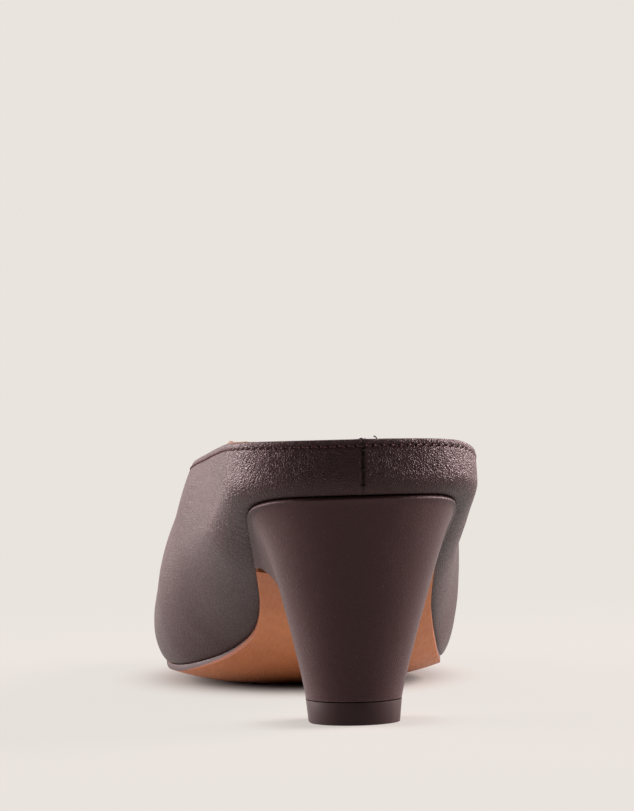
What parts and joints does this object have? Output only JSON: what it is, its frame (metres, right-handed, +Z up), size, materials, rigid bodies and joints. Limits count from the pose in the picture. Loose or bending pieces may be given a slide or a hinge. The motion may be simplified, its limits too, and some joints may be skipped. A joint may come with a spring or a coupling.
{
  "type": "low heel shoe",
  "caption": "Right closed-toe leather mule with a low back, on a tapered covered block heel with a thin leather sole.",
  "frame": {"origin": "centre of the heel lift's flat resting face, on the floor", "axes": "+X to the toe along the heel's axis, +Y to the inner (medial) side of this right shoe, +Z up"},
  "size_m": [0.2414, 0.0879, 0.0775],
  "materials": {
    "upper_leather": "smooth fine-grained leather with a soft sheen",
    "insole_leather": "matt lining leather",
    "sole_leather": "buffed tan sole leather, dark painted rim",
    "heel_cover": "smooth leather cover",
    "lift_rubber": "dark satin top piece"
  },
  "bodies": {
    "root": {"upper": "upper_leather", "insole": "insole_leather", "outsole": "sole_leather", "heel": "heel_cover", "heel_lift": "lift_rubber"}
  },
  "joints": []
}
